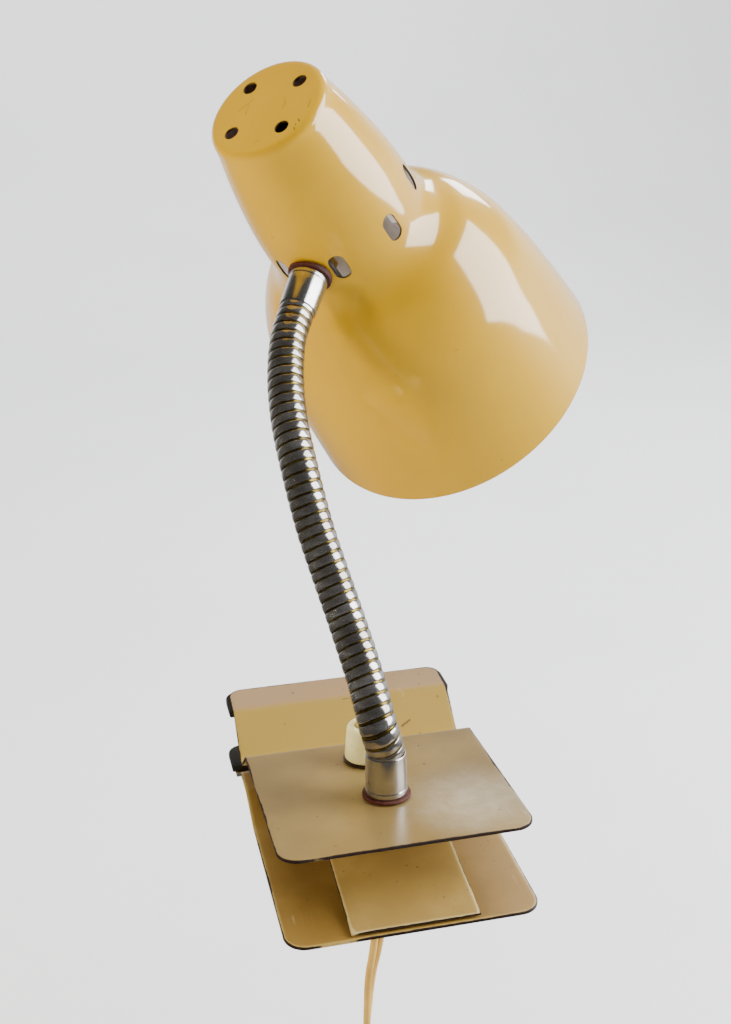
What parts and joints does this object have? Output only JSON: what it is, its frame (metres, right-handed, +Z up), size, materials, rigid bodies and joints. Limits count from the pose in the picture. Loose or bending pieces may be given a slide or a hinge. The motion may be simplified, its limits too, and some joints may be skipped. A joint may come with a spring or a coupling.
{
  "type": "clip-on reading lamp",
  "caption": "Reading lamp on a sprung clip of two pressed plates, with a push switch, a flexible metal neck and a bell-shaped vented enamel shade.",
  "frame": {"origin": "middle of the gripping face of the upper jaw pad, where the clip rests on the top of the board", "axes": "+Z up, out of the board; +X along the edge of the board and the hinge pin; +Y from the handles towards the jaws, in over the board"},
  "size_m": [0.1634, 0.2604, 0.5117],
  "materials": {
    "beige_paint": "glossy, worn and chipped along its edges",
    "golden_paint": "satin, thinly sprayed over spring steel",
    "cream_enamel": "high gloss",
    "black_rubber": "matt",
    "plain_steel": "plain",
    "brown_plastic": "moulded phenolic",
    "cream_plastic": "moulded, slightly yellowed",
    "brass": "plain turned brass",
    "red_fibre": "vulcanised fibre",
    "chrome": "bright plated",
    "frosted_glass": "frosted inside",
    "cord_vinyl": "soft vinyl"
  },
  "bodies": {
    "clip_upper": {"upper_plate": "beige_paint", "upper_jaw_pad": "black_rubber", "spring_upper_leg": "golden_paint", "switch_washer": "brown_plastic", "switch_collar": "cream_plastic", "switch_body": "brown_plastic", "switch_terminal_left": "brass", "switch_terminal_right": "brass", "base_washer": "red_fibre", "base_ferrule": "chrome", "base_nut": "brass", "base_nipple": "brass", "neck_1": "chrome"},
    "push_button": {"switch_button": "cream_plastic"},
    "clip_lower": {"lower_plate": "beige_paint", "lower_jaw_pad": "black_rubber", "hinge_pin": "plain_steel", "cord_grip": "cord_vinyl", "power_cord": "cord_vinyl", "cord_hank": "cord_vinyl", "hank_tie": "cream_plastic", "plug_body": "cream_plastic", "plug_pin_left": "brass", "plug_pin_right": "brass"},
    "spring_leg": {"spring_lower_leg": "golden_paint"},
    "neck_segment_2": {"neck_2": "chrome"},
    "neck_segment_3": {"neck_3": "chrome"},
    "neck_segment_4": {"neck_4": "chrome"},
    "neck_segment_5": {"neck_5": "chrome"},
    "neck_segment_6": {"neck_6": "chrome"},
    "neck_segment_7": {"neck_7": "chrome"},
    "head": {"neck_8": "chrome", "shade": "cream_enamel", "head_washer": "red_fibre", "head_ferrule": "chrome", "head_nipple": "brass", "head_nut": "brass", "holder_bracket": "plain_steel", "holder_nipple": "brass", "holder_nut": "brass", "holder_cap": "brown_plastic", "holder_body": "brown_plastic", "holder_contact_spring": "brass", "holder_thread_shell": "brass", "bulb_cap": "brass", "bulb_glass": "frosted_glass"}
  },
  "joints": [
    {"name": "switch_push", "type": "slide", "parent": "clip_upper", "child": "push_button", "axis": [0, 0.0728, 0.9973], "range_m": [-0.0022, 0], "stiffness_N_per_m": 900, "springref_m": 0.002},
    {"name": "clip_hinge", "type": "hinge", "parent": "clip_upper", "child": "clip_lower", "pos_m": [0, -0.0237, -0.0127], "axis": [1, 0, 0], "range_deg": [-12, 32], "stiffness_Nm_per_rad": 8},
    {"name": "spring_flex", "type": "hinge", "parent": "clip_upper", "child": "spring_leg", "pos_m": [0, -0.041, -0.00385], "axis": [1, 0, 0], "range_deg": [-14.4, 38.4]},
    {"name": "neck_lower_bend", "type": "hinge", "parent": "clip_upper", "child": "neck_segment_2", "pos_m": [-0.00371, -0.07078, 0.03853], "axis": [0.9939, 0.0659, 0.0887], "range_deg": [-12, 12]},
    {"name": "neck_sway", "type": "hinge", "parent": "neck_segment_2", "child": "neck_segment_3", "pos_m": [-0.00676, -0.05872, 0.05461], "axis": [0, 0.8031, -0.5958], "range_deg": [-12, 12]},
    {"name": "neck_lower_bend_2", "type": "hinge", "parent": "neck_segment_3", "child": "neck_segment_4", "pos_m": [-0.01082, -0.04776, 0.07125], "axis": [0.9787, 0.1068, 0.1753], "range_deg": [-12, 12]},
    {"name": "neck_sway_2", "type": "hinge", "parent": "neck_segment_4", "child": "neck_segment_5", "pos_m": [-0.0149, -0.03791, 0.08855], "axis": [0, 0.8693, -0.4942], "range_deg": [-12, 12]},
    {"name": "neck_upper_bend", "type": "hinge", "parent": "neck_segment_5", "child": "neck_segment_6", "pos_m": [-0.01738, -0.0273, 0.10569], "axis": [0.9968, 0.0497, 0.0624], "range_deg": [-12, 12]},
    {"name": "neck_sway_3", "type": "hinge", "parent": "neck_segment_6", "child": "neck_segment_7", "pos_m": [-0.01788, -0.01352, 0.12061], "axis": [0, 0.722, -0.6919], "range_deg": [-12, 12]},
    {"name": "neck_upper_bend_2", "type": "hinge", "parent": "neck_segment_7", "child": "head", "pos_m": [-0.01531, 0.00082, 0.13475], "axis": [0.9766, -0.1577, -0.146], "range_deg": [-12, 12]}
  ],
  "couplings": [
    {"joint": "spring_flex", "follows": "clip_hinge", "ratio": 1.2},
    {"joint": "neck_lower_bend_2", "follows": "neck_lower_bend", "ratio": 1},
    {"joint": "neck_sway_2", "follows": "neck_sway", "ratio": 1},
    {"joint": "neck_sway_3", "follows": "neck_sway", "ratio": 1},
    {"joint": "neck_upper_bend_2", "follows": "neck_upper_bend", "ratio": 1}
  ]
}
